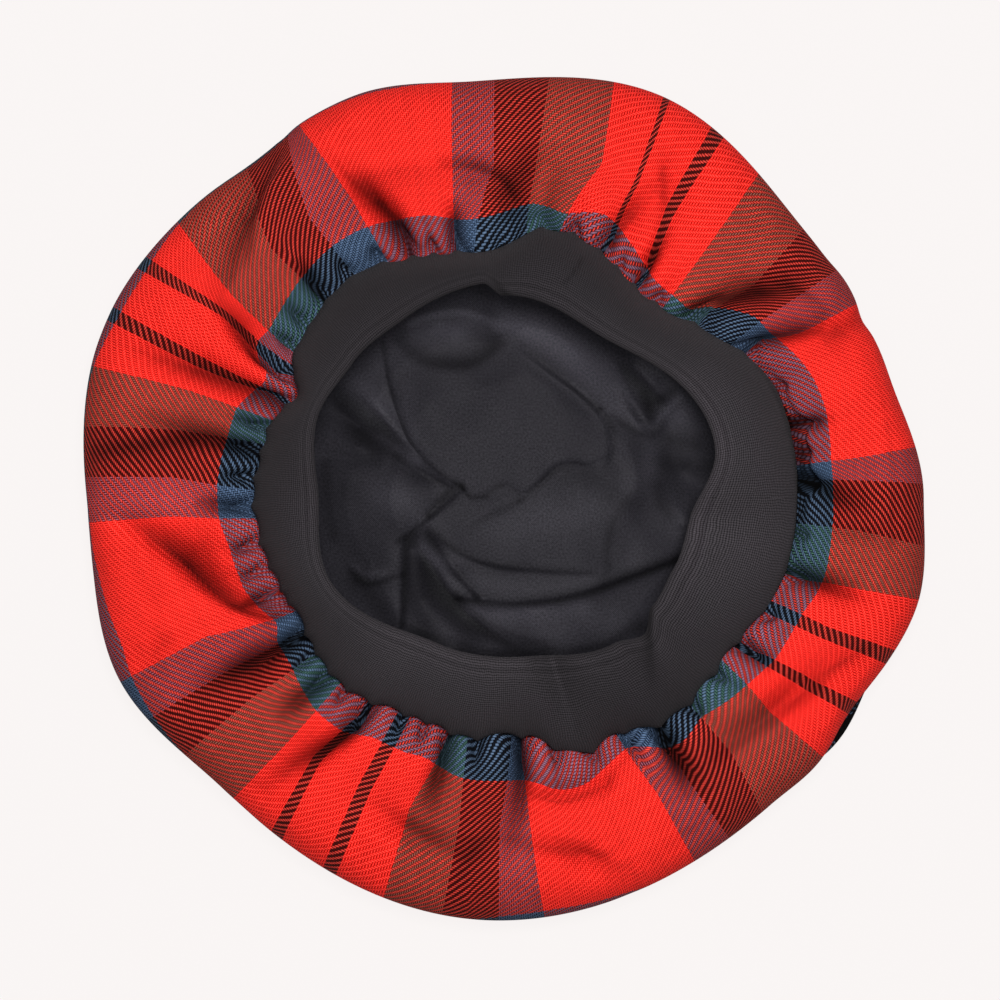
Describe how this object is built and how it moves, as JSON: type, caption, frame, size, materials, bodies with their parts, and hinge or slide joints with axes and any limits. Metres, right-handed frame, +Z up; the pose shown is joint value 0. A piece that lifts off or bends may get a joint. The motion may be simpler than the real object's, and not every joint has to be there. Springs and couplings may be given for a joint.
{
  "type": "tam o shanter",
  "caption": "Soft round tartan bonnet lying on its crown, with a gathered side ring, a wide knit headband, a creased lining and a yarn toorie under the crown.",
  "frame": {"origin": "on the surface that the crown lies on, under the middle of the hat", "axes": "+Z up through the opening, so the hat lies upside down; +X and +Y are right and up in the picture, which looks straight down"},
  "size_m": [0.2833, 0.2841, 0.0663],
  "materials": {
    "tartan": "matt twill-woven tartan, mostly red with blue, black and green stripes",
    "crown_tartan": "matt twill-woven tartan, the same cloth on the crown",
    "knit_band": "matt fine black elastic knit",
    "lining_cloth": "black plain-woven lining with a slight sheen",
    "toorie_yarn": "matt red cut yarn"
  },
  "bodies": {
    "root": {"under_panel": "tartan", "crown_top": "crown_tartan", "headband": "knit_band", "lining": "lining_cloth", "toorie": "toorie_yarn"}
  },
  "joints": []
}
